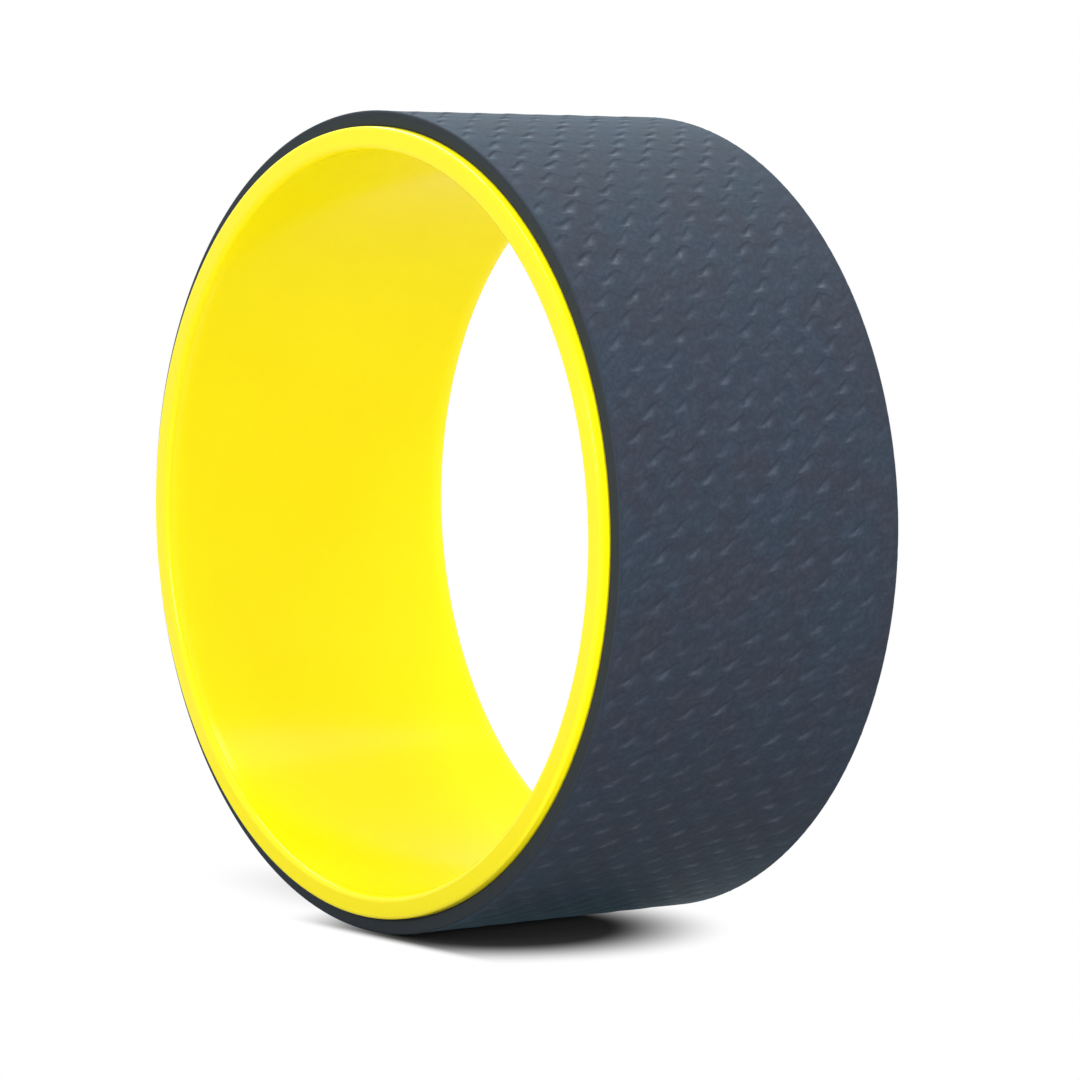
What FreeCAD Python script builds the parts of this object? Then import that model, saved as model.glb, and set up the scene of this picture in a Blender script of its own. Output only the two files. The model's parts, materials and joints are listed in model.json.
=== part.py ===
import FreeCAD, Part
import os
import Sketcher

# Yoga wheel: a rigid plastic hoop with a foam tread bonded round its outside.
# Millimetres. The wheel's centre is the origin, its axis lies along Y and +Z is up,
# so the wheel stands on its tread at the lowest point of the ring.

SIZES = {
    "hoop_outer_radius": (158.6, "outside of the hoop, under the tread"),
    "hoop_wall": (9.4, "thickness of the hoop"),
    "hoop_width": (145.2, "hoop from rim to rim"),
    "rim_inner_round": (2.5, "rounded corner on the hoop's inner edges"),
    "rim_outer_round": (1.5, "rounded corner on the hoop's outer edges"),
    "rim_overhang": (4.2, "bare hoop beyond each edge of the tread"),
    "film_thickness": (0.2, "adhesive between hoop and tread"),
    "film_setback": (0.5, "adhesive stops this far inside each edge of the tread"),
    "pad_thickness": (6.2, "foam sheet, to the tops of its embossing"),
    "pad_edge_round": (0.8, "rounded corner on the tread's outer edges"),
    "seam_thickness": (0.4, "glue line between the two ends of the foam strip"),
}

# A thin wall limits its own rounded corners, so that each rim keeps a flat ring to lie on.
INNER_ROUND_SHARE = 0.5
OUTER_ROUND_SHARE = 0.3

FULL_TURN = 360.0
HALF_TURN = 180.0
WHEEL_AXIS = FreeCAD.Vector(0, 1, 0)
EDGE_TOLERANCE = 1e-6
MM3_PER_CM3 = 1000.0


# Sizes in the sheet

doc = FreeCAD.newDocument("yoga_wheel")
sheet = doc.addObject("Spreadsheet::Sheet", "Sizes")
for row, (alias, (value, meaning)) in enumerate(SIZES.items(), start=1):
    sheet.set(f"A{row}", alias)
    sheet.set(f"B{row}", str(value))
    sheet.set(f"C{row}", meaning)
    sheet.setAlias(f"B{row}", alias)
doc.recompute()


# Places worked out from the sheet, each radius starting where the layer beneath it ends

HOOP_OUTSIDE = "Sizes.hoop_outer_radius"
HOOP_INSIDE = f"({HOOP_OUTSIDE} - Sizes.hoop_wall)"
FILM_OUTSIDE = f"({HOOP_OUTSIDE} + Sizes.film_thickness)"
PAD_OUTSIDE = f"({FILM_OUTSIDE} + Sizes.pad_thickness)"
HOOP_WIDTH = "Sizes.hoop_width"
PAD_WIDTH = f"({HOOP_WIDTH} - 2 * Sizes.rim_overhang)"
FILM_WIDTH = f"({PAD_WIDTH} - 2 * Sizes.film_setback)"
RIM_INNER_ROUND = f"min(Sizes.rim_inner_round; Sizes.hoop_wall * {INNER_ROUND_SHARE})"
RIM_OUTER_ROUND = f"min(Sizes.rim_outer_round; Sizes.hoop_wall * {OUTER_ROUND_SHARE})"
SEAM_ANGLE = f"(Sizes.seam_thickness * {HALF_TURN} / (pi * {PAD_OUTSIDE}))"


# Helpers for ring-shaped pieces

def origin_plane(body, role):
    """The body's own origin plane with this role."""
    return next(plane for plane in body.Origin.OriginFeatures if plane.Role == role)


def bind(sketch, constraint, name, expression):
    """Add a dimension to the sketch and tie it to the sheet."""
    index = sketch.addConstraint(constraint)
    sketch.renameConstraint(index, name)
    sketch.setExpression(f"Constraints.{name}", expression)


def ring_section(body, inside, outside, width):
    """A rectangle in the plane of the wheel's axis: radius along X, width along Y."""
    sketch = body.newObject("Sketcher::SketchObject", f"{body.Name}_section")
    sketch.AttachmentSupport = [(origin_plane(body, "XY_Plane"), "")]
    sketch.MapMode = "FlatFace"
    # The rectangle is first drawn as the hoop's section, and its dimensions then pull it to size.
    far = sheet.hoop_outer_radius
    near = far - sheet.hoop_wall
    half = sheet.hoop_width / 2
    corners = [(near, -half), (far, -half), (far, half), (near, half)]
    points = [FreeCAD.Vector(x, y, 0) for x, y in corners]
    for start, end in zip(points, points[1:] + points[:1]):
        sketch.addGeometry(Part.LineSegment(start, end))
    for line in range(4):
        sketch.addConstraint(Sketcher.Constraint("Coincident", line, 2, (line + 1) % 4, 1))
    for line in (0, 2):
        sketch.addConstraint(Sketcher.Constraint("Horizontal", line))
    sketch.addConstraint(Sketcher.Constraint("Vertical", 3))
    sketch.addConstraint(Sketcher.Constraint("Symmetric", 1, 1, 1, 2, -1))
    bind(sketch, Sketcher.Constraint("DistanceX", -1, 1, 0, 1, near), "inside", inside)
    bind(sketch, Sketcher.Constraint("DistanceX", -1, 1, 0, 2, far), "outside", outside)
    bind(sketch, Sketcher.Constraint("DistanceY", 1, 1, 1, 2, 2 * half), "width", width)
    return sketch


def turned_ring(label, inside, outside, width, angle):
    """A body turned about the wheel's axis, spread evenly to both sides of +X."""
    body = doc.addObject("PartDesign::Body", label)
    body.Label = label
    section = ring_section(body, inside, outside, width)
    ring = body.newObject("PartDesign::Revolution", f"{label}_ring")
    ring.Profile = section
    ring.ReferenceAxis = (section, ["V_Axis"])
    ring.Midplane = True
    ring.setExpression("Angle", angle)
    doc.recompute()
    return body


def runs_round_wheel(edge):
    """True for a circular edge that runs round the wheel's axis."""
    if not isinstance(edge.Curve, Part.Circle):
        return False
    return edge.Curve.Axis.cross(WHEEL_AXIS).Length < EDGE_TOLERANCE


def corner_edges(body, choose):
    """Names of the largest (choose=max) or smallest (choose=min) edges that run round the wheel."""
    radii = {}
    for number, edge in enumerate(body.Tip.Shape.Edges, start=1):
        if runs_round_wheel(edge):
            radii[f"Edge{number}"] = edge.Curve.Radius
    chosen = choose(radii.values())
    return [name for name, radius in radii.items() if abs(radius - chosen) < EDGE_TOLERANCE]


def round_corners(body, name, choose, rounding):
    """Round the outer or inner corners of a ring, on both its sides."""
    base = body.Tip
    edges = corner_edges(body, choose)
    fillet = body.newObject("PartDesign::Fillet", name)
    fillet.Base = (base, edges)
    fillet.setExpression("Radius", rounding)
    doc.recompute()


# Hoop: one plastic ring with a larger rounding inside than outside

hoop = turned_ring("hoop", HOOP_INSIDE, HOOP_OUTSIDE, HOOP_WIDTH, str(FULL_TURN))
round_corners(hoop, "hoop_outer_corners", max, RIM_OUTER_ROUND)
round_corners(hoop, "hoop_inner_corners", min, RIM_INNER_ROUND)


# Adhesive film: a thin sleeve on the hoop, a little narrower than the tread

film = turned_ring("adhesive_film", HOOP_OUTSIDE, FILM_OUTSIDE, FILM_WIDTH, str(FULL_TURN))


# Tread pad: one foam strip wrapped round, open at -X by the width of its glue line

pad = turned_ring("tread_pad", FILM_OUTSIDE, PAD_OUTSIDE, PAD_WIDTH, f"{FULL_TURN} - {SEAM_ANGLE}")
round_corners(pad, "pad_outer_corners", max, "Sizes.pad_edge_round")


# Seam bond: the glue line that fills that opening, rounded like the strip it joins

bond = turned_ring("seam_bond", FILM_OUTSIDE, PAD_OUTSIDE, PAD_WIDTH, SEAM_ANGLE)
round_corners(bond, "bond_outer_corners", max, "Sizes.pad_edge_round")
bond.Placement = FreeCAD.Placement(FreeCAD.Vector(0, 0, 0), FreeCAD.Rotation(WHEEL_AXIS, HALF_TURN))


# Check every object, then write one file for each piece

doc.recompute()
for item in doc.Objects:
    if "Invalid" in item.State or "Error" in item.State:
        raise RuntimeError(f"{item.Name} failed to recompute: {item.State}")

pieces = [hoop, film, pad, bond]
for piece in pieces:
    if piece.Shape.isNull() or not piece.Shape.isValid() or len(piece.Shape.Solids) != 1:
        raise RuntimeError(f"{piece.Label} is not one valid solid")

os.makedirs("parts", exist_ok=True)
for piece in pieces:
    piece.Shape.exportStep(f"parts/{piece.Label}.step")
    box = piece.Shape.optimalBoundingBox(False)
    spans = f"{box.XLength:.2f} x {box.YLength:.2f} x {box.ZLength:.2f} mm"
    print(f"{piece.Label}: {spans}, {piece.Shape.Volume / MM3_PER_CM3:.2f} cm3")
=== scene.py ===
# %% [markdown]
# A yoga wheel: a rigid ring of glossy yellow plastic with a strip of embossed slate foam bonded round it.
# This lesson dresses the engineer's solids for a picture. The solids give every size and place, so the
# first step loads them, and nothing here moves or resizes them. Two of them are shown as they are, with
# better finishes, and two are rebuilt more finely: the hoop, because a mirror-like surface shows every
# facet, and the tread, because its embossing is the most visible thing on the wheel.

# %% Load the solids
import json
import math

import bmesh
import bpy
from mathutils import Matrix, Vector


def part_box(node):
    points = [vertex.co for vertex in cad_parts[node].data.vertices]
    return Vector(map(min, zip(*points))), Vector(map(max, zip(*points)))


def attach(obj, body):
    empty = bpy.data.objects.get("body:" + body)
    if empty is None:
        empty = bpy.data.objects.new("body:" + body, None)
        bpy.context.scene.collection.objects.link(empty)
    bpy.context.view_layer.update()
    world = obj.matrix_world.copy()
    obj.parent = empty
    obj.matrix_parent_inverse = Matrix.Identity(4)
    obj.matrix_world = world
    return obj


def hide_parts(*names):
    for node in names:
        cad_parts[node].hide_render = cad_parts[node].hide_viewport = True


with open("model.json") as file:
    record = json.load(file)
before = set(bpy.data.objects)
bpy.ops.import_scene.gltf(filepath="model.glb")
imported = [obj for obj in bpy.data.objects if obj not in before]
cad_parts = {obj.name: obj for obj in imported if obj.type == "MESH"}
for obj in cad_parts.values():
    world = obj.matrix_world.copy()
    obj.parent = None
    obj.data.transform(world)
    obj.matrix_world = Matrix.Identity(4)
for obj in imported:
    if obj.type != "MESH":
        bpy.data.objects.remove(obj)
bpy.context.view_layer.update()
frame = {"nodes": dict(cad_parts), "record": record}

scene = bpy.context.scene
scene.view_settings.view_transform = "Standard"
print("solids:", sorted(frame["nodes"]))

# %% [markdown]
# The real sizes are read from the solids' boxes, and the inside of the hoop from the stated bore. The
# wheel's axis is Y, so a ring's radius is half its box along X, and its width is the box along Y. What a
# box can't tell, such as how far a corner is rounded, is written beside the piece that it belongs to.

# %% Read the sizes
MM = 0.001


def ring_size(node):
    """Outside radius and half width of a ring-shaped solid."""
    low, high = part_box(node)
    return max(-low.x, high.x), high.y


hoop_outside, hoop_half = ring_size("hoop")
film_outside = ring_size("adhesive_film")[0]
pad_outside, pad_half = ring_size("tread_pad")
bore = next(mount for mount in frame["record"]["mounts"] if mount["name"] == "bore")
hoop_inside = bore["dims"]["r_mm"] * MM
seam_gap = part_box("seam_bond")[1].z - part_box("seam_bond")[0].z
print(f"hoop radius {hoop_inside:.4f} to {hoop_outside:.4f} m, pad to {pad_outside:.4f} m")

# %% [markdown]
# Materials and Geometry Nodes are both built from nodes, and long sums of Math nodes are hard to read
# when they are wired one by one. So one small class stands for a socket, and Python's own operators add
# the Math nodes. Every other node comes from its one general method.

# %% A socket that can do sums
class Wire:
    """One socket of a node tree. Sums written with it add Math nodes to the tree."""

    def __init__(self, tree, socket=None):
        self.tree = tree
        self.socket = socket

    def node(self, kind, settings=None, sockets=None, out=0):
        """Add any node: its settings first, then a value or a link for each socket."""
        made = self.tree.nodes.new(kind)
        for name, setting in (settings or {}).items():
            setattr(made, name, setting)
        for name, given in (sockets or {}).items():
            if isinstance(given, Wire):
                self.tree.links.new(given.socket, made.inputs[name])
            else:
                made.inputs[name].default_value = given
        return Wire(self.tree, made.outputs[out] if made.outputs else None)

    def output(self, name):
        """Another output of the node that this socket belongs to."""
        return Wire(self.tree, self.socket.node.outputs[name])

    def math(self, operation, *terms):
        """A Math node on the given terms."""
        return self.node("ShaderNodeMath", {"operation": operation}, dict(enumerate(terms)))

    def __add__(self, other):
        return self.math("ADD", self, other)

    def __radd__(self, other):
        return self.math("ADD", other, self)

    def __sub__(self, other):
        return self.math("SUBTRACT", self, other)

    def __rsub__(self, other):
        return self.math("SUBTRACT", other, self)

    def __mul__(self, other):
        return self.math("MULTIPLY", self, other)

    def __rmul__(self, other):
        return self.math("MULTIPLY", other, self)

    def __truediv__(self, other):
        return self.math("DIVIDE", self, other)

    def __rtruediv__(self, other):
        return self.math("DIVIDE", other, self)

    def __pow__(self, other):
        return self.math("POWER", self, other)

    def __gt__(self, other):
        return self.math("GREATER_THAN", self, other)

    def __lt__(self, other):
        return self.math("LESS_THAN", self, other)

    def __abs__(self):
        return self.math("ABSOLUTE", self)

    def floor(self):
        return self.math("FLOOR", self)

    def sin(self):
        return self.math("SINE", self)

    def cos(self):
        return self.math("COSINE", self)

    def least(self, other):
        return self.math("MINIMUM", self, other)

    def most(self, other):
        return self.math("MAXIMUM", self, other)

    def between(self, low, high):
        """The value held between two limits."""
        return self.most(low).least(high)

    def ease(self, start, end):
        """A soft step: 0 before start, 1 after end."""
        sockets = {"Value": self, "From Min": start, "From Max": end}
        return self.node("ShaderNodeMapRange", {"interpolation_type": "SMOOTHSTEP"}, sockets)


print("sums of nodes are written with the class", Wire.__name__)

# %% [markdown]
# The camera stands where the photograph was taken from: to the right of the near rim, a little above the
# wheel's centre, with a long lens, so the ring is hardly distorted. A longer lens from further away would
# flatten the two rims to the same size, and a short one would make the far rim look too small. The lens
# axis passes a little to the right of the wheel's centre and below it, so the wheel lies up and left of
# the picture's middle, as in the photograph.

# %% Camera
CAMERA_AZIMUTH = math.radians(53.626)
CAMERA_ELEVATION = math.radians(3.618)
CAMERA_DISTANCE = 1.7936
CAMERA_LENS = 145.73
CAMERA_ASIDE = 13.08 * MM
CAMERA_RISE = -9.20 * MM


def direction(azimuth, elevation):
    """Unit vector from the wheel towards a place. Azimuth 0 is in front of the near rim, -Y."""
    flat = math.cos(elevation)
    return Vector((math.sin(azimuth) * flat, -math.cos(azimuth) * flat, math.sin(elevation)))


back = direction(CAMERA_AZIMUTH, CAMERA_ELEVATION)
aside = Vector((math.cos(CAMERA_AZIMUTH), math.sin(CAMERA_AZIMUTH), 0))
up = back.cross(aside)

camera = bpy.data.objects.new("camera", bpy.data.cameras.new("camera"))
camera.data.lens = CAMERA_LENS
camera.location = back * CAMERA_DISTANCE + aside * CAMERA_ASIDE + up * CAMERA_RISE
camera.rotation_euler = (-back).to_track_quat("-Z", "Y").to_euler()
scene.collection.objects.link(camera)
scene.camera = camera
print("camera at", tuple(round(part, 3) for part in camera.location))

# %% [markdown]
# A studio sweep is white from floor to ceiling. Here the sky is white only where the camera or a
# reflection looks straight at it, and gives the wheel a softer, weaker light of its own.

# %% White surroundings
WHITE = (1, 1, 1, 1)
AMBIENT = 0.6


def seen_directly(start):
    """1 for camera, mirror and see-through rays, 0 for the light that bounces about."""
    path = start.node("ShaderNodeLightPath")
    looked_at = path.output("Is Camera Ray").most(path.output("Is Glossy Ray"))
    return looked_at.most(path.output("Is Transmission Ray"))


world = bpy.data.worlds.new("white_sweep")
world.use_nodes = True
world.node_tree.nodes.clear()
sky = Wire(world.node_tree)
strength = AMBIENT + (1 - AMBIENT) * seen_directly(sky)
backdrop = sky.node("ShaderNodeBackground", None, {"Color": WHITE, "Strength": strength})
sky.node("ShaderNodeOutputWorld", None, {"Surface": backdrop})
scene.world = world
print("ambient light", AMBIENT)

# %% [markdown]
# The floor is matt where the wheel's soft shadow falls, and plain white light elsewhere, so that it melts
# into the backdrop. A floor that is matt all over would show grey against it. The matt part is an oval
# under the wheel, cut off sharply in front, where the near rim ends. Its dark colour is a painted shadow,
# which the wheel's real shadow darkens further, and a faint painted shadow reaches out to the left.
#
# What the floor sends to the wheel is chosen apart from that. Its bounced light is pale, but dimmer beside
# the tread, as if a dark cloth lay there, so the tread's underside stays dark. Reflections alone see
# a dark oval painted on the floor on the left, which is painted shade in reflections and keeps the lower
# rim a deep yellow.

# %% Floor finish
FLOOR_PALE = 0.54
FLOOR_BESIDE = 0.24
FLOOR_SHADED = 0.065
OVAL_FADE = (0.55, 1.2)
BESIDE_MIDDLE = (210 * MM, 20 * MM)
BESIDE_REACH = (230 * MM, 180 * MM)
SHADOW_MIDDLE = (22 * MM, -20 * MM)
SHADOW_REACH = (80 * MM, 80 * MM)
SHADOW_FRONT = (-80 * MM, -70 * MM)
PAINTED_SHADOW_STRENGTH = 0.45
PAINTED_SHADOW_MIDDLE = (-70 * MM, 0)
PAINTED_SHADOW_REACH = (140 * MM, 65 * MM)
PAINTED_SHADOW_FADE = (0, 1)
REFLECTED_SHADE_STRENGTH = 0.7
REFLECTED_SHADE_MIDDLE = (-250 * MM, -250 * MM)
REFLECTED_SHADE_REACH = (400 * MM, 400 * MM)


def outside_oval(x, y, middle, reach, fade=OVAL_FADE):
    """0 in an oval on the floor, 1 away from it, with a soft edge."""
    along = (x - middle[0]) / reach[0]
    across = (y - middle[1]) / reach[1]
    return ((along * along + across * across) ** 0.5).ease(*fade)


def floor_finish():
    """Matt and painted dark in the wheel's shadow, plain white light away from it."""
    material = bpy.data.materials.new("floor_white")
    material.use_nodes = True
    material.node_tree.nodes.clear()
    start = Wire(material.node_tree)
    place = start.node("ShaderNodeTexCoord").output("Object")
    parts = start.node("ShaderNodeSeparateXYZ", None, {"Vector": place})
    x = parts.output("X")
    y = parts.output("Y")

    # How much of the floor is matt and painted dark, for rays that look straight at it.
    shadow = (1 - outside_oval(x, y, SHADOW_MIDDLE, SHADOW_REACH)) * y.ease(*SHADOW_FRONT)
    # Painted shadow: a faint dark oval on the floor to the left of the wheel.
    painted_shadow = PAINTED_SHADOW_STRENGTH * (1 - outside_oval(x, y, PAINTED_SHADOW_MIDDLE, PAINTED_SHADOW_REACH, PAINTED_SHADOW_FADE))
    mirrored = start.node("ShaderNodeLightPath").output("Is Glossy Ray")
    # Painted shade in reflections: a dark oval on the left that only mirror rays see.
    reflected_shade = REFLECTED_SHADE_STRENGTH * (1 - outside_oval(x, y, REFLECTED_SHADE_MIDDLE, REFLECTED_SHADE_REACH)) * mirrored
    seen = seen_directly(start)
    glowing = (1 - shadow.most(painted_shadow).most(reflected_shade)) * seen

    # The matt floor is painted dark to look at, as painted shadow, and pale in the light that it throws
    # back.
    away = outside_oval(x, y, BESIDE_MIDDLE, BESIDE_REACH)
    bounce = FLOOR_BESIDE + (FLOOR_PALE - FLOOR_BESIDE) * away
    pale = bounce + (FLOOR_SHADED - bounce) * seen
    grey = start.node("ShaderNodeCombineColor", None, {"Red": pale, "Green": pale, "Blue": pale})
    matt = start.node("ShaderNodeBsdfDiffuse", None, {"Color": grey})
    glow = start.node("ShaderNodeEmission", None, {"Color": WHITE, "Strength": 1.0})
    surface = start.node("ShaderNodeMixShader", None, {0: glowing, 1: matt, 2: glow})
    start.node("ShaderNodeOutputMaterial", None, {"Surface": surface})
    return material


white_floor = floor_finish()
print("finish:", white_floor.name)

# %% [markdown]
# The wheel touches the floor along one line under its tread, so the floor is a large flat square at the
# tread's lowest point.

# %% Floor
FLOOR_REACH = 6.0
floor_height = -pad_outside


def floor_plane():
    """A flat square, lowered to where the tread touches it."""
    shape = bmesh.new()
    bmesh.ops.create_grid(shape, x_segments=1, y_segments=1, size=FLOOR_REACH)
    mesh = bpy.data.meshes.new("floor")
    shape.to_mesh(mesh)
    shape.free()
    mesh.materials.append(white_floor)
    plane = bpy.data.objects.new("floor", mesh)
    plane.location.z = floor_height
    scene.collection.objects.link(plane)
    return plane


floor = floor_plane()
print("floor at", round(floor_height, 4))

# %% [markdown]
# Two wide, slightly bluish lamps hang above the wheel, one behind its middle and one over its left side,
# and lighten the top of the tread. The key lamp is low and to the left of the camera. It lights the near
# rim, and its reflection draws the pale streaks along the rim's rounded edges. The right fill is for the
# side of the tread. It is narrow, low and square to the axis, so hardly any of its light gets into the
# hoop. A weak one fills in from behind. The two fills are left out of reflections, because the glossy hoop
# would mirror them as bright bars.

# %% Lamps
LAMP_REACH = 1.7
PLAIN_WHITE = (1, 1, 1)
COOL_WHITE = (0.93, 0.99, 1)


def soft_lamp(name, azimuth, elevation, width, height, power, colour=PLAIN_WHITE):
    """A rectangular soft lamp that faces the wheel. Angles are in degrees, sizes in metres."""
    light = bpy.data.lights.new(name, "AREA")
    light.shape = "RECTANGLE"
    light.size = width
    light.size_y = height
    light.energy = power
    light.color = colour
    lamp = bpy.data.objects.new(name, light)
    towards = direction(math.radians(azimuth), math.radians(elevation))
    lamp.location = towards * LAMP_REACH
    lamp.rotation_euler = towards.to_track_quat("Z", "Y").to_euler()
    scene.collection.objects.link(lamp)
    return lamp


soft_lamp("overhead_lamp", azimuth=135, elevation=78, width=1.4, height=1.4, power=24, colour=COOL_WHITE)
soft_lamp("left_lamp", azimuth=270, elevation=60, width=1.2, height=1.2, power=25, colour=COOL_WHITE)
soft_lamp("key_lamp", azimuth=30, elevation=17, width=0.7, height=0.5, power=10)
right_fill = soft_lamp("right_fill", azimuth=90, elevation=5, width=0.25, height=0.5, power=20)
right_fill.visible_glossy = False
back_fill = soft_lamp("back_fill", azimuth=140, elevation=20, width=1.2, height=1.2, power=5)
back_fill.visible_glossy = False

# %% [markdown]
# The hoop and the foam strip are both long bars bent into a ring, and both have the same kind of section:
# a rectangle with rounded corners. A bar's points are counted in steps round the section, corner by
# corner. Each corner is a quarter turn with one more point before and after it, close by on the straight,
# which keeps the shading of the straights flat. The outer straight can have extra columns.

# %% Points of a rounded bar section
QUARTER_TURN = math.pi / 2
CORNERS = 4
MIDDLE_CORNER = (CORNERS - 1) / 2
CORNER_MARGIN = 0.25 * MM
# Counts are compared half a step off, so that rounding can't upset them.
HALF_STEP = 0.5


def bar_section(step, corner_steps, columns, outside, inside, half_width, outer_round, inner_round):
    """Radius and sideways place of a section's point, as sums of nodes."""
    corner = (step / corner_steps).floor().least(CORNERS - 1)
    place = (step - corner * corner_steps).least(corner_steps - 1)

    # A corner's first and last points are its margins, so its turn has three steps fewer than it has points.
    turn_steps = corner_steps - 3
    angle = (corner + ((place - 1) / turn_steps).between(0, 1)) * QUARTER_TURN
    reach = ((place > corner_steps - 1 - HALF_STEP) - (place < HALF_STEP)) * CORNER_MARGIN
    side = 1 - 2 * (corner > MIDDLE_CORNER)
    is_outer = abs(corner - MIDDLE_CORNER) > 1
    rounding = inner_round + is_outer * (outer_round - inner_round)
    centre_out = is_outer * (outside - rounding) + (1 - is_outer) * (inside + rounding)
    centre_across = side * (half_width - rounding)
    radius = centre_out + rounding * angle.cos() - reach * angle.sin()
    across = centre_across + rounding * angle.sin() + reach * angle.cos()
    extra = (step - (CORNERS * corner_steps - 1)).most(0)
    straight = 2 * (half_width - outer_round - CORNER_MARGIN)
    return radius, across + extra * straight / (columns + 1)


print("straight kept beside each rounded corner:", CORNER_MARGIN, "m")

# %% [markdown]
# Each ring is a Geometry Nodes tree: a flat grid of points, one way round the section and the other way
# round the wheel, that is then bent into place by the sums above. The tree's inputs are the ring's sizes,
# so the same tree could make a larger wheel. The result is turned into a plain mesh.

# %% Geometry Nodes helpers
SOCKETS = {float: "NodeSocketFloat", int: "NodeSocketInt", bpy.types.Material: "NodeSocketMaterial"}
MERGE_REACH = 0.002 * MM


def open_tree(name, inputs):
    """A new tree with one named input for each size. Gives the tree and a wire for each input."""
    tree = bpy.data.node_groups.new(name, "GeometryNodeTree")
    tree.interface.new_socket("Geometry", in_out="OUTPUT", socket_type="NodeSocketGeometry")
    for label, value in inputs.items():
        tree.interface.new_socket(label, in_out="INPUT", socket_type=SOCKETS[type(value)])
    entry = tree.nodes.new("NodeGroupInput")
    return tree, {label: Wire(tree, entry.outputs[label]) for label in inputs}


def grid_steps(start, section_points, ring_points):
    """A grid of points, with each point's count round the section and round the wheel."""
    sizes = {"Vertices X": section_points, "Vertices Y": ring_points}
    grid = start.node("GeometryNodeMeshGrid", None, sizes)
    index = start.node("GeometryNodeInputIndex")
    step = ((index + HALF_STEP) / ring_points).floor()
    return grid, step, index - step * ring_points


def close_tree(start, grid, radius, across, angle, material):
    """Bend the grid into a ring, join its meeting edges and give it its finish."""
    round_axis = {"X": radius * angle.cos(), "Y": across, "Z": radius * angle.sin()}
    place = start.node("ShaderNodeCombineXYZ", None, round_axis)
    bent = start.node("GeometryNodeSetPosition", None, {"Geometry": grid, "Position": place})
    joined = start.node("GeometryNodeMergeByDistance", None, {"Geometry": bent, "Distance": MERGE_REACH})
    smooth = start.node("GeometryNodeSetShadeSmooth", None, {"Geometry": joined, "Shade Smooth": True})
    real = start.node("GeometryNodeRealizeInstances", None, {"Geometry": smooth})
    dressed = start.node("GeometryNodeSetMaterial", None, {"Geometry": real, "Material": material})
    start.node("NodeGroupOutput", None, {"Geometry": dressed})


def bake_piece(name, tree, inputs):
    """Run a tree with these inputs and keep the result as a plain mesh whose faces point outwards."""
    piece = bpy.data.objects.new(name, bpy.data.meshes.new(name))
    scene.collection.objects.link(piece)
    modifier = piece.modifiers.new(name, "NODES")
    modifier.node_group = tree
    for label, value in inputs.items():
        modifier[tree.interface.items_tree[label].identifier] = value
    depsgraph = bpy.context.evaluated_depsgraph_get()
    mesh = bpy.data.meshes.new_from_object(piece.evaluated_get(depsgraph), depsgraph=depsgraph)
    piece.modifiers.remove(modifier)
    piece.data = mesh
    shape = bmesh.new()
    shape.from_mesh(mesh)
    bmesh.ops.recalc_face_normals(shape, faces=shape.faces)
    open_edges = sum(not edge.is_manifold for edge in shape.edges)
    triangles = sum(len(face.verts) - 2 for face in shape.faces)
    shape.to_mesh(mesh)
    shape.free()
    print(f"{name}: {triangles} triangles, {open_edges} open edges")
    return piece


print("kinds of input:", sorted(SOCKETS.values()))

# %% [markdown]
# Every finish on the wheel is made in the same way. Noises of a few sizes, read from the wheel's own
# coordinates, drive the colour, the roughness and a shallow bump, and one Principled shader takes them. An
# image would need a photographed surface, and it would blur close up.

# %% Finish helpers
NOISE_MIDDLE = 0.5
# A Mix node has one set of sockets for each kind of value, so those for colours go by their numbers.
MIX_SHARE = 0
MIX_FIRST = 6
MIX_SECOND = 7
MIX_RESULT = 2


def new_finish(name):
    """An empty node material, with a wire to start from and the Object coordinates."""
    material = bpy.data.materials.new(name)
    material.use_nodes = True
    material.node_tree.nodes.clear()
    start = Wire(material.node_tree)
    return material, start, start.node("ShaderNodeTexCoord").output("Object")


def noise(start, place, size, detail=2.0, roughness=0.5):
    """Cloudy noise from 0 to 1 whose features are about this size, in metres."""
    sockets = {"Vector": place, "Scale": 1 / size, "Detail": detail, "Roughness": roughness}
    return start.node("ShaderNodeTexNoise", None, sockets)


def tint(start, share, first, second):
    """A colour between two, by share."""
    sockets = {MIX_SHARE: share, MIX_FIRST: first, MIX_SECOND: second}
    return start.node("ShaderNodeMix", {"data_type": "RGBA"}, sockets, MIX_RESULT)


def bumped(start, height, depth):
    """A Normal input that stands up by depth, in metres, where height is 1."""
    return start.node("ShaderNodeBump", None, {"Height": height, "Distance": depth, "Strength": 1.0})


def dress(start, **sockets):
    """End a material in one Principled shader."""
    named = {name.replace("_", " "): given for name, given in sockets.items()}
    surface = start.node("ShaderNodeBsdfPrincipled", None, named)
    start.node("ShaderNodeOutputMaterial", None, {"Surface": surface})


print("noises are centred on", NOISE_MIDDLE)

# %% [markdown]
# The hoop's plastic is glossy and evenly coloured all through. What keeps it from looking like a flat
# yellow shape is its gloss: very faint waves in the surface, left by the mould, soften and bend the
# reflections, and the polish is a little uneven. The two rims are buffed after cutting, so they shine more
# than the inside.

# %% Yellow plastic
YELLOW = (0.955, 0.82, 0.005, 1)
YELLOW_DEEP = (0.945, 0.80, 0.004, 1)
CLOUD_SIZE = 60 * MM
CLOUD_FADE = (0.3, 0.7)
WAVE_SIZE = 14 * MM
WAVE_DEPTH = 0.02 * MM
POLISH_SIZE = 5 * MM
PLASTIC_ROUGHNESS = 0.22
POLISH_CHANGE = 0.06
PLASTIC_GLEAM = 0.06
INSIDE_SHINE = 0.06
RIM_SHINE = 0.5
SHINE_ROUGHNESS = 0.12
BUFFED_START = 7 * MM
BUFFED_END = 2.1 * MM


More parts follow.
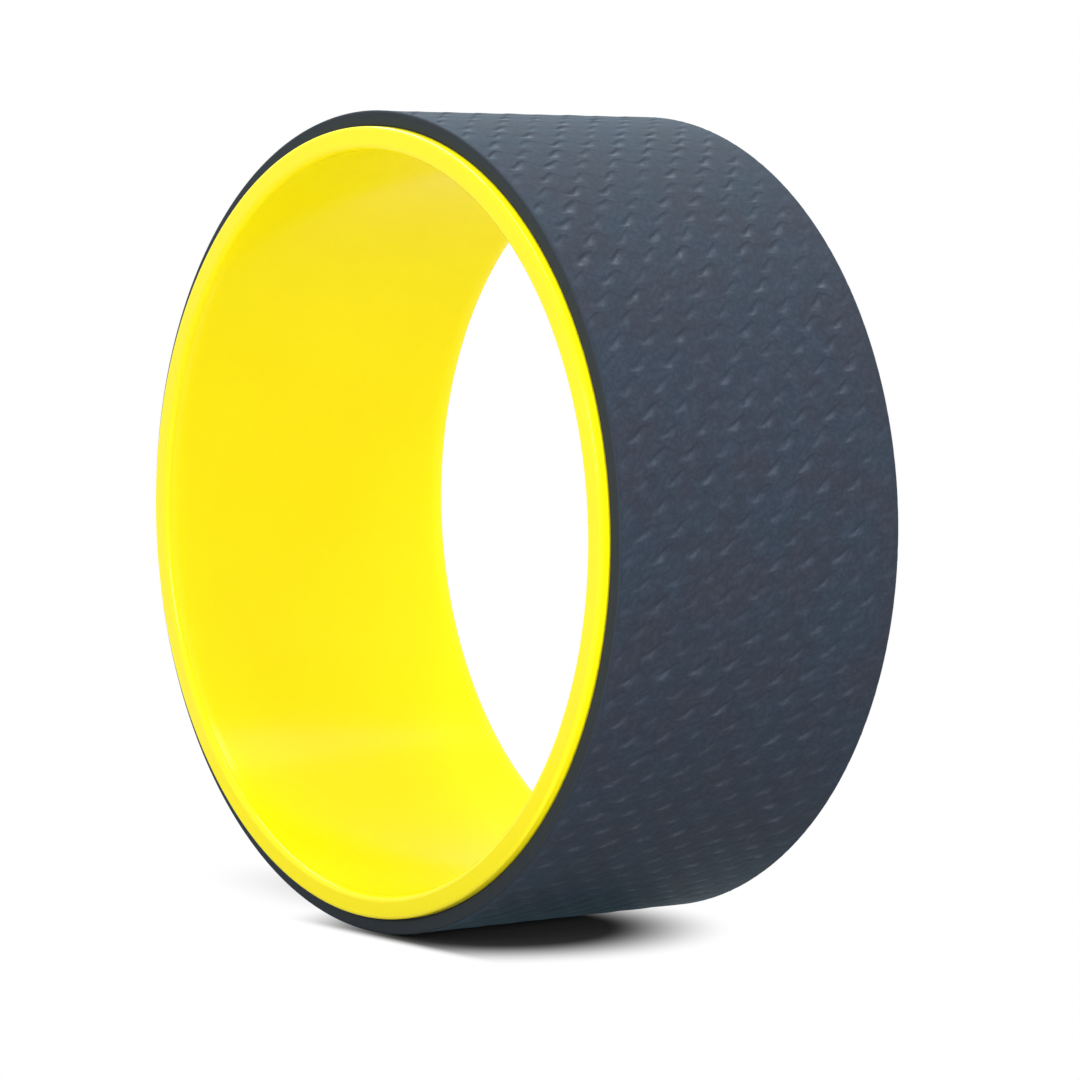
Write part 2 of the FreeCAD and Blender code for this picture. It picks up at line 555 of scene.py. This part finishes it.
def yellow_plastic():
    """Glossy plastic, more polished within a few millimetres of the rims."""
    material, start, place = new_finish("yellow_plastic")
    clouds = noise(start, place, CLOUD_SIZE, detail=3.0)
    waves = noise(start, place, WAVE_SIZE, detail=1.0)
    polish = noise(start, place, POLISH_SIZE, detail=4.0, roughness=0.6)
    across = start.node("ShaderNodeSeparateXYZ", None, {"Vector": place}, "Y")
    buffed = abs(across).ease(hoop_half - BUFFED_START, hoop_half - BUFFED_END)
    dress(start,
          Base_Color=tint(start, clouds.ease(*CLOUD_FADE), YELLOW, YELLOW_DEEP),
          Roughness=PLASTIC_ROUGHNESS + POLISH_CHANGE * (polish - NOISE_MIDDLE),
          Normal=bumped(start, waves, WAVE_DEPTH),
          Specular_IOR_Level=PLASTIC_GLEAM,
          Coat_Weight=INSIDE_SHINE + (RIM_SHINE - INSIDE_SHINE) * buffed,
          Coat_Roughness=SHINE_ROUGHNESS)
    return material


plastic = yellow_plastic()
print("finish:", plastic.name)

# %% [markdown]
# The hoop is cut and rounded like a short piece of thick pipe: the corners inside are fuller, because
# hands and feet go there. A cylinder with bevelled edges would be quicker, but its facets would show in the
# gloss. So the tree turns one finely rounded section round the axis, as a lathe would.

# %% Hoop
BODY = "root"
HOOP_INPUTS = {
    "Inside radius": hoop_inside,
    "Outside radius": hoop_outside,
    "Half width": hoop_half,
    "Inner round": 2.5 * MM,
    "Outer round": 1.5 * MM,
    "Corner steps": 11,
    "Columns": 0,
    "Turn steps": 512,
    "Finish": plastic,
}


def turned_ring_tree(inputs):
    """A plain ring: one rounded section turned about the wheel's axis."""
    tree, given = open_tree("turned_ring", inputs)
    start = Wire(tree)
    corner_steps = given["Corner steps"]
    columns = given["Columns"]
    turn_steps = given["Turn steps"]
    grid, step, ring = grid_steps(start, CORNERS * corner_steps + columns + 1, turn_steps + 1)
    radius, across = bar_section(step, corner_steps, columns, given["Outside radius"],
                                 given["Inside radius"], given["Half width"],
                                 given["Outer round"], given["Inner round"])
    close_tree(start, grid, radius, across, ring / turn_steps * math.tau, given["Finish"])
    return tree


ring_tree = turned_ring_tree(HOOP_INPUTS)
hoop = bake_piece("yellow_hoop", ring_tree, HOOP_INPUTS)
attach(hoop, BODY)
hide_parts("hoop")

# %% [markdown]
# The foam's skin has fine leathery folds from the embossing roller, which leaned them and drew them out a
# little across the strip. So they are read from a point's place on the strip as it lay flat, before it was
# wrapped round the hoop. The cut edges at the sides have no skin, and show tiny foam cells instead.

# %% Skin of the foam
FOLD_STRETCH = 0.9
FOLD_LEAN = 0.25
FOLD_THICKNESS = 0.3
FOLD_SIZE = 3.8 * MM
FOLD_SHARPNESS = 6
GRAIN_SIZE = 0.9 * MM
GRAIN_HEIGHT = 0.15
CELL_SIZE = 0.5 * MM
CELL_HEIGHT = 0.3
CUT_START = 0.6 * MM
CUT_END = 0.2 * MM


def strip_place(start, place):
    """A point's place on the flat strip, and 1 where it is on a cut edge."""
    parts = start.node("ShaderNodeSeparateXYZ", None, {"Vector": place})
    x, y, z = (parts.output(letter) for letter in "XYZ")
    radius = (x * x + z * z) ** 0.5
    turned = start.math("ARCTAN2", z, x) * pad_outside
    stretched = {"X": FOLD_STRETCH * y, "Y": turned - FOLD_LEAN * y, "Z": FOLD_THICKNESS * radius}
    flat = start.node("ShaderNodeCombineXYZ", None, stretched)
    return flat, abs(y).ease(pad_half - CUT_START, pad_half - CUT_END)


def foam_skin(start, place, flat, is_cut):
    """The folds, the grain, and the height of the surface with both."""
    folds = (1 - 2 * abs(noise(start, flat, FOLD_SIZE) - NOISE_MIDDLE)) ** FOLD_SHARPNESS
    grain = noise(start, place, GRAIN_SIZE, detail=3.0, roughness=0.6)
    cells = noise(start, place, CELL_SIZE)
    height = (GRAIN_HEIGHT * grain - folds) * (1 - is_cut) + CELL_HEIGHT * cells * is_cut
    return folds, grain, height


print("folds of", FOLD_SIZE, "m and cells of", CELL_SIZE, "m")

# %% [markdown]
# The foam is dark slate and matt. Its colour drifts a little between bluish and purplish grey. Its folds
# and the feet of the embossed lips are painted darker, as painted shade. The slopes that the roller ironed
# are shinier, in patches, and are painted paler there, as a painted highlight. The finish could work out
# again where the slopes and lips are, but the tread's mesh carries a mark for each point, above 0 on a
# slope and below 0 at the foot of a lip, so the finish follows the embossing exactly.

# %% Slate foam
SLATE_BLUE = (0.0230, 0.0324, 0.0480, 1)
SLATE_PLUM = (0.0260, 0.0295, 0.0415, 1)
SLATE_PAINTED_SHADE = (0.013, 0.017, 0.025, 1)
# SLATE_PALE serves both the random pale mottle and the painted highlight on the slopes.
SLATE_PALE = (0.034, 0.044, 0.063, 1)
SLATE_CUT = (0.030, 0.036, 0.046, 1)
PAINTED_LIGHT_AND_SHINE_MARK = "painted_light_and_shine"
DRIFT_SIZE = 26 * MM
DRIFT_FADE = (0.35, 0.65)
MOTTLE_SIZE = 7 * MM
MOTTLE_FADE = (0.4, 0.7)
MOTTLE_PALENESS = 0.3
PATCH_SIZE = 2.4 * MM
PATCH_FADE = (0.3, 0.7)
SHINE_AND_HIGHLIGHT_LEAST = 0.3
SHINE_AND_HIGHLIGHT_CHANGE = 1.2
IRONED_SHINE = 0.32
IRONED_ROUGHNESS = 0.3
FOLD_PAINTED_SHADE = 0.5
WRINKLE_DEPTH = 0.03 * MM
FOAM_ROUGHNESS = 0.68
GRAIN_CHANGE = 0.16
CUT_CHANGE = 0.12
FOAM_GLEAM = 0.1
FOAM_SHEEN = 0.06
SHEEN_ROUGHNESS = 0.4
SHEEN_BLUE = (0.45, 0.8, 1.0, 1)


def slate_foam():
    """Matt foam with a wrinkled skin on its face and open cells on its cut edges."""
    material, start, place = new_finish("slate_foam")
    flat, is_cut = strip_place(start, place)
    folds, grain, height = foam_skin(start, place, flat, is_cut)
    drift = noise(start, place, DRIFT_SIZE, detail=5.0, roughness=0.6)
    mottle = noise(start, flat, MOTTLE_SIZE, detail=3.0, roughness=0.6)
    patches = noise(start, flat, PATCH_SIZE, detail=3.0, roughness=0.6)
    painted_light_and_shine = start.node("ShaderNodeAttribute", {"attribute_name": PAINTED_LIGHT_AND_SHINE_MARK}, None, "Fac")
    shine_and_painted_highlight = painted_light_and_shine.most(0) * (SHINE_AND_HIGHLIGHT_LEAST + SHINE_AND_HIGHLIGHT_CHANGE * patches.ease(*PATCH_FADE))
    skin = tint(start, drift.ease(*DRIFT_FADE), SLATE_BLUE, SLATE_PLUM)
    skin = tint(start, MOTTLE_PALENESS * mottle.ease(*MOTTLE_FADE), skin, SLATE_PALE)
    # Painted shade: the folds and the feet of the lips are painted darker.
    skin = tint(start, (FOLD_PAINTED_SHADE * folds).most(0 - painted_light_and_shine), skin, SLATE_PAINTED_SHADE)
    # Painted highlight: the slopes are painted paler; the coat weight below is their real shine.
    skin = tint(start, shine_and_painted_highlight, skin, SLATE_PALE)
    dress(start,
          Base_Color=tint(start, is_cut, skin, SLATE_CUT),
          Roughness=FOAM_ROUGHNESS + GRAIN_CHANGE * (grain - NOISE_MIDDLE) + CUT_CHANGE * is_cut,
          Normal=bumped(start, height, WRINKLE_DEPTH),
          Specular_IOR_Level=FOAM_GLEAM,
          Coat_Weight=IRONED_SHINE * shine_and_painted_highlight,
          Coat_Roughness=IRONED_ROUGHNESS,
          Sheen_Weight=FOAM_SHEEN,
          Sheen_Roughness=SHEEN_ROUGHNESS,
          Sheen_Tint=SHEEN_BLUE)
    return material


foam = slate_foam()
print("finish:", foam.name)

# %% [markdown]
# The tread is made as in the factory: a flat strip of foam is embossed between rollers, cut to length and
# wrapped round the hoop, with its two ends glued together. The embossing is rows of overlapping scales
# with waved lips, and a plain grid would cut across the lips in steps. So here the grid's own lines run
# along the rows, and each lip is one clean edge, with few points. This step rounds the strip's two ends
# and counts the rows between them.

# %% Ends and rows of the strip
END_STEPS = 3


def strip_ends(ring, last, end_round):
    """How far the end rings draw in and reach out, and 0 for the two that close on the middle."""
    first_turn = ((END_STEPS - ring) / (END_STEPS - 1)).between(0, 1) * QUARTER_TURN
    last_turn = ((ring - last + END_STEPS) / (END_STEPS - 1)).between(0, 1) * QUARTER_TURN
    inset = end_round * (1 - first_turn.most(last_turn).cos())
    overshoot = end_round * (last_turn.sin() - first_turn.sin())
    is_open = (ring > HALF_STEP) * (ring < last - HALF_STEP)
    return inset, overshoot, is_open


def strip_rows(ring, given):
    """Each point's row, how far it has climbed in it, from 0 to 1, and 1 at the foot of its lip."""
    row_steps = given["Row steps"]
    lip_share = given["Lip share"]
    crest_share = given["Crest share"]
    body = (ring - END_STEPS).between(0, given["Rows"] * row_steps)
    row = ((body + HALF_STEP) / row_steps).floor()
    steps_up = body - row * row_steps

    # The first step of a row is the steep face of its lip, the second is a narrow one that keeps the
    # lip's edge crisp, and the others are even.
    even_part = (steps_up - 2).most(0) / (row_steps - 2)
    climbed = lip_share * steps_up.least(1) + crest_share * (steps_up - 1).between(0, 1)
    climbed = climbed + (1 - lip_share - crest_share) * even_part
    return row, climbed, steps_up < HALF_STEP


print("steps that round each end of the strip:", END_STEPS)

# %% [markdown]
# The lips run in waves, and each row is shifted by half a wave against the one below it. The rows also
# slope a little and stray, because soft foam creeps under a roller. Towards the seam they straighten, so
# that the strip's ends meet in a straight line.

# %% Waves of the rows
SLOPE_ROWS = 4
SHIFT_ROWS = 1.5


def place_along(start, given, across, count, from_seam):
    """How far along the strip each point lies, with the rows counted from the seam."""
    room = math.tau * given["Crest radius"] - given["Seam gap"] - 2 * given["End round"]
    level = count * (room / given["Rows"])
    wave = (across / given["Wave length"] * math.tau).sin() * (count * math.pi).cos()
    spot = start.node("ShaderNodeCombineXYZ", None, {"X": across, "Y": level, "Z": given["Seed"]})
    stray = noise(start, spot, given["Stray size"]) - NOISE_MIDDLE
    shift = given["Wave height"] * wave + given["Stray reach"] * stray
    slope = given["Row slope"] * across
    return level + shift * from_seam.ease(0, SHIFT_ROWS) + slope * from_seam.ease(0, SLOPE_ROWS)


print("rows that straighten towards each side of the seam:", SLOPE_ROWS)

# %% [markdown]
# Where a wave rises, its lip stands out sharply, and where it falls, it nearly vanishes. Each scale is
# pressed a little more or less than its neighbours, which keeps the pattern from looking printed. The
# embossing gets fainter towards the edges and the seam, where the roller presses less. All of this could
# be a bump in the finish, but then the strip's outline and its shadows would stay smooth.

# %% Relief of the scales
SCALE_SHARPNESS = 3
SCALE_FAINTEST = 0.35
LIP_SHARPNESS = 1.5
LIP_FAINTEST = 0.4
SWELL_END = 0.27
DIP_SPAN = (0.36, 0.9)
SLOPE_START = (0.44, 0.62)
SLOPE_END = (0.76, 0.94)
FOOT_PAINTED_SHADE = 0.75
TOP_MARGIN = 0.1 * MM
FAR_FAINTNESS = 0.65
CALM_ROWS = 0.5


def embossed_share(given, radius, across, from_seam):
    """1 where the strip is embossed in full, less towards its edges and its seam."""
    crest = given["Crest radius"]
    half_width = given["Half width"]
    edge_calm = given["Edge calm"]
    on_top = radius.ease(crest - given["Edge round"], crest - TOP_MARGIN)
    near_edge = (across + half_width).ease(0, edge_calm)
    far_edge = 1 - FAR_FAINTNESS * across.ease(half_width - given["Far calm"], half_width - edge_calm)
    return on_top * near_edge * far_edge * from_seam.ease(0, CALM_ROWS)


def scale_relief(start, given, across, row, climbed, at_foot):
    """How deep each point lies under the crest, and its mark for the finish, embossed in full."""
    lip = row + 1 - at_foot
    below_lip = climbed + at_foot
    turned = (across + given["Scale lean"] * (1 - below_lip)) / given["Wave length"] - lip / 2
    number = (turned + 0.5).floor()
    spot = start.node("ShaderNodeCombineXYZ", None, {"X": number, "Y": lip, "Z": given["Seed"]})
    chance = start.node("ShaderNodeTexWhiteNoise", None, {"Vector": spot})
    rise = abs((turned * math.pi).cos())
    scale = rise ** SCALE_SHARPNESS
    strength = scale * (SCALE_FAINTEST + (1 - SCALE_FAINTEST) * chance)

    # A point is deepest just below a lip, and nearly level with the crest just above it.
    lip_strength = rise ** LIP_SHARPNESS * (LIP_FAINTEST + (1 - LIP_FAINTEST) * chance)
    swell = lip_strength * (1 - at_foot) * (1 - climbed.ease(given["Lip share"], SWELL_END))
    dip = strength * below_lip.ease(*DIP_SPAN)
    depth = given["Lip height"] * (1 - swell) + given["Emboss depth"] * dip

    # The mark is above 0 on the slope, where the finish paints a highlight and adds shine, and below 0 at
    # the lip's foot, where it paints shade.
    shine_and_painted_highlight = below_lip.ease(*SLOPE_START) * (1 - below_lip.ease(*SLOPE_END))
    return depth, strength * (shine_and_painted_highlight * scale - FOOT_PAINTED_SHADE * at_foot)


print("faintest scale, as a share of the strongest:", SCALE_FAINTEST)

# %% [markdown]
# Now the strip can be put together: the rounded bar is wrapped once round the hoop from seam to seam, the
# rows are laid along it, and the relief is pressed into its outside. Its crests stay at the radius of the
# engineer's solid, so the embossing only ever cuts inwards.

# %% Embossed tread
TREAD_INPUTS = {
    "Core radius": film_outside,
    "Crest radius": pad_outside,
    "Half width": pad_half,
    "Edge round": 0.8 * MM,
    "Inner round": 0.6 * MM,
    "Seam gap": seam_gap,
    "End round": 0.5 * MM,
    "Rows": 112,
    "Row steps": 9,
    "Corner steps": 5,
    "Columns": 104,
    "Wave length": 16.0 * MM,
    "Wave height": 1.85 * MM,
    "Row slope": 0.07,
    "Stray size": 9 * MM,
    "Stray reach": 4 * MM,
    "Scale lean": 5.5 * MM,
    "Emboss depth": 0.45 * MM,
    "Lip height": 0.2 * MM,
    "Lip share": 0.07,
    "Crest share": 0.025,
    "Edge calm": 5 * MM,
    "Far calm": 16 * MM,
    "Seed": 4,
    "Finish": foam,
}


def embossed_tread_tree(inputs):
    """A rounded bar bent round the hoop, with waved rows of scales pressed into its outside."""
    tree, given = open_tree("embossed_tread", inputs)
    start = Wire(tree)
    crest = given["Crest radius"]
    core = given["Core radius"]
    rows = given["Rows"]
    corner_steps = given["Corner steps"]
    columns = given["Columns"]
    end_round = given["End round"]
    last = rows * given["Row steps"] + 2 * END_STEPS
    grid, step, ring = grid_steps(start, CORNERS * corner_steps + columns + 1, last + 1)

    inset, overshoot, is_open = strip_ends(ring, last, end_round)
    radius, across = bar_section(step, corner_steps, columns, crest - inset, core + inset,
                                 given["Half width"] - inset, given["Edge round"], given["Inner round"])
    middle = (crest + core) / 2
    radius = middle + (radius - middle) * is_open
    across = across * is_open

    row, climbed, at_foot = strip_rows(ring, given)
    count = row + climbed
    from_seam = count.least(rows - count)
    along = place_along(start, given, across, count, from_seam) + overshoot + end_round
    angle = math.pi + (given["Seam gap"] / 2 + along) / crest

    embossed = embossed_share(given, radius, across, from_seam)
    depth, mark = scale_relief(start, given, across, row, climbed, at_foot)
    settings = {"data_type": "FLOAT", "domain": "POINT"}
    marked = {"Geometry": grid, "Name": PAINTED_LIGHT_AND_SHINE_MARK, "Value": embossed * mark}
    grid = start.node("GeometryNodeStoreNamedAttribute", settings, marked)
    close_tree(start, grid, radius - embossed * depth, across, angle, given["Finish"])
    return tree


tread_tree = embossed_tread_tree(TREAD_INPUTS)
tread = bake_piece("embossed_tread", tread_tree, TREAD_INPUTS)
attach(tread, BODY)
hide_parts("tread_pad")

# %% [markdown]
# Two thin layers of adhesive hold the tread: a film under it, whose dark edge is the fine line between the
# yellow and the foam, and the glue line where the strip's two ends meet. Their solids already have the
# right shape, so they are shown as they are, in a dark, slightly uneven finish.

# %% Adhesive film and seam
FILM_DARK = (0.012, 0.012, 0.013, 1)
FILM_PALE = (0.022, 0.022, 0.024, 1)
FILM_ROUGHNESS = 0.5
GLUE_DARK = (0.020, 0.024, 0.030, 1)
GLUE_PALE = (0.034, 0.040, 0.048, 1)
GLUE_ROUGHNESS = 0.45
ADHESIVE_GRAIN = 1.5 * MM
ADHESIVE_FADE = (0.3, 0.7)
ADHESIVE_CHANGE = 0.2
ADHESIVE_DEPTH = 0.05 * MM


def dark_adhesive(name, dark, pale, roughness):
    """Dried adhesive, a little uneven in colour, shine and height."""
    material, start, place = new_finish(name)
    grain = noise(start, place, ADHESIVE_GRAIN, detail=3.0)
    dress(start,
          Base_Color=tint(start, grain.ease(*ADHESIVE_FADE), dark, pale),
          Roughness=roughness + ADHESIVE_CHANGE * (grain - NOISE_MIDDLE),
          Normal=bumped(start, grain, ADHESIVE_DEPTH))
    return material


def repaint(node, material):
    """Give a solid's own object a new finish."""
    mesh = frame["nodes"][node].data
    mesh.materials.clear()
    mesh.materials.append(material)
    print(node, "is now", material.name)


repaint("adhesive_film", dark_adhesive("film_edge", FILM_DARK, FILM_PALE, FILM_ROUGHNESS))
repaint("seam_bond", dark_adhesive("seam_glue_line", GLUE_DARK, GLUE_PALE, GLUE_ROUGHNESS))
